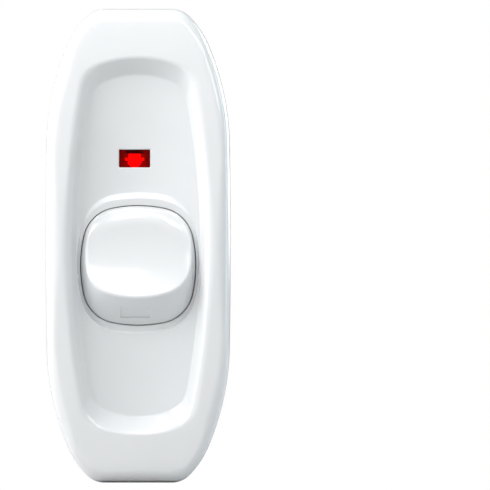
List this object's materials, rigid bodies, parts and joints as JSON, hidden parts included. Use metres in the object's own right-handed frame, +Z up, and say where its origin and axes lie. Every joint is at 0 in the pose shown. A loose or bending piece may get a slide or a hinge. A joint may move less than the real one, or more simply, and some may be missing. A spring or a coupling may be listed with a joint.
{
  "type": "window restrictor lock unit",
  "caption": "Push-button lock unit of a cable window restrictor: long rounded white cover, finger trough, domed release button, red lamp and a cable socket in its lower end.",
  "frame": {"origin": "centre of the rear face that lies on the window frame, at mid-length", "axes": "+X to the right seen from the front, +Y back into the window frame, +Z up along the unit; the front faces -Y"},
  "size_m": [0.0382, 0.0231, 0.098],
  "materials": {
    "white_plastic": "high-gloss moulded white, fine orange peel",
    "plate_plastic": "matt moulded grey",
    "foam": "closed-cell foam",
    "zinc": "die-cast zinc, tumbled",
    "steel": "stamped and turned steel",
    "spring_steel": "drawn spring wire",
    "chrome_steel": "polished nickel plate",
    "switch_plastic": "black thermoset",
    "red_plastic": "red moulded",
    "brass": "turned brass",
    "tinned": "tinned copper",
    "wire_sheath": "soft lead insulation",
    "board": "green solder mask over glass epoxy",
    "chip_plastic": "moulded package",
    "hood_plastic": "dark red moulded",
    "led_red": "diffused red epoxy",
    "lens_red": "dark red clear acrylic",
    "cell_steel": "nickel-plated can"
  },
  "bodies": {
    "housing": {"front_cover": "white_plastic", "back_plate": "plate_plastic", "foam_gasket": "foam", "button_pivot_pin": "steel", "button_return_spring": "spring_steel", "lock_body": "zinc", "lock_body_screws": "steel", "cable_socket": "chrome_steel", "latch_spring_left": "spring_steel", "latch_spring_right": "spring_steel", "ejector_spring": "spring_steel", "switch_body": "switch_plastic", "switch_terminals": "brass", "switch_wires": "wire_sheath", "control_board": "board", "board_screws": "steel", "control_chip": "chip_plastic", "board_resistors": "chip_plastic", "lamp_hood": "hood_plastic", "status_led": "led_red", "led_spacer": "red_plastic", "led_leads": "tinned", "status_lens": "lens_red", "coin_cell": "cell_steel", "cell_holder": "plate_plastic", "cell_contact_plus": "tinned", "cell_contact_minus": "tinned", "cover_screw": "steel", "screw_insert": "brass"},
    "button": {"release_button": "white_plastic"},
    "fork": {"latch_fork": "steel"},
    "ejector": {"plug_ejector": "steel"},
    "plunger": {"switch_plunger": "red_plastic"}
  },
  "joints": [
    {"name": "button_press", "type": "hinge", "parent": "housing", "child": "button", "pos_m": [0, -0.0126, 0.0055], "axis": [1, 0, 0], "range_deg": [0, 5], "stiffness_Nm_per_rad": 0.6, "springref_deg": -4.58, "deforming": ["button_return_spring"]},
    {"name": "fork_slide", "type": "slide", "parent": "housing", "child": "fork", "axis": [0, 1, 0], "range_m": [0, 0.00228], "deforming": ["latch_spring_left", "latch_spring_right"]},
    {"name": "ejector_slide", "type": "slide", "parent": "housing", "child": "ejector", "axis": [0, 0, 1], "range_m": [0, 0.004], "stiffness_N_per_m": 300, "springref_m": -0.004, "deforming": ["ejector_spring"]},
    {"name": "plunger_slide", "type": "slide", "parent": "housing", "child": "plunger", "axis": [1, 0, 0], "range_m": [0, 0.00041]}
  ],
  "couplings": [
    {"joint": "fork_slide", "follows": "button_press", "m_per_rad": 0.026},
    {"joint": "plunger_slide", "follows": "ejector_slide", "ratio": 0.1}
  ]
}
